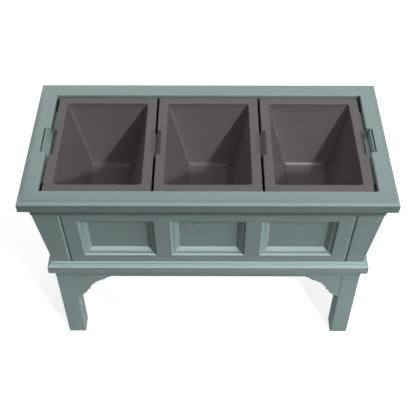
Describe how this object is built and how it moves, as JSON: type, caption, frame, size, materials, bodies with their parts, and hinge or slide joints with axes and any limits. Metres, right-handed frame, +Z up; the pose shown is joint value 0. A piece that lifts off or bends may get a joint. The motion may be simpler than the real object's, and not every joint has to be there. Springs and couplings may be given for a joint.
{
  "type": "raised garden bed",
  "caption": "Free-standing raised garden bed on square legs, with leaning panelled walls, a broad rounded rim and lift-out planting trays side by side.",
  "frame": {"origin": "on the ground under the middle of the bed", "axes": "+X along the length to the right, +Y from the front to the back, +Z up"},
  "size_m": [0.914, 0.447, 0.615],
  "materials": {
    "stand_resin": "satin grey-green",
    "tray_resin": "satin dark taupe",
    "screw_steel": "zinc plated"
  },
  "bodies": {
    "stand": {"front_rim": "stand_resin", "back_rim": "stand_resin", "left_rim_insert": "stand_resin", "right_rim_insert": "stand_resin", "front_panel": "stand_resin", "back_panel": "stand_resin", "left_end_panel": "stand_resin", "right_end_panel": "stand_resin", "front_left_corner_post": "stand_resin", "front_right_corner_post": "stand_resin", "back_right_corner_post": "stand_resin", "back_left_corner_post": "stand_resin", "front_base_rail": "stand_resin", "back_base_rail": "stand_resin", "left_base_rail": "stand_resin", "right_base_rail": "stand_resin", "front_left_leg": "stand_resin", "front_right_leg": "stand_resin", "back_right_leg": "stand_resin", "back_left_leg": "stand_resin", "front_left_bracket": "stand_resin", "front_right_bracket": "stand_resin", "back_left_bracket": "stand_resin", "back_right_bracket": "stand_resin", "left_front_bracket": "stand_resin", "left_back_bracket": "stand_resin", "right_front_bracket": "stand_resin", "right_back_bracket": "stand_resin", "bottom_panel": "stand_resin", "leg_screws": "screw_steel", "bracket_screws": "screw_steel"},
    "left_tray": {"left_tray": "tray_resin"},
    "centre_tray": {"centre_tray": "tray_resin"},
    "right_tray": {"right_tray": "tray_resin"}
  },
  "joints": [
    {"name": "left_tray_lift", "type": "slide", "parent": "stand", "child": "left_tray", "axis": [0, 0, 1], "range_m": [0, 0.22]},
    {"name": "centre_tray_lift", "type": "slide", "parent": "stand", "child": "centre_tray", "axis": [0, 0, 1], "range_m": [0, 0.22]},
    {"name": "right_tray_lift", "type": "slide", "parent": "stand", "child": "right_tray", "axis": [0, 0, 1], "range_m": [0, 0.22]}
  ]
}
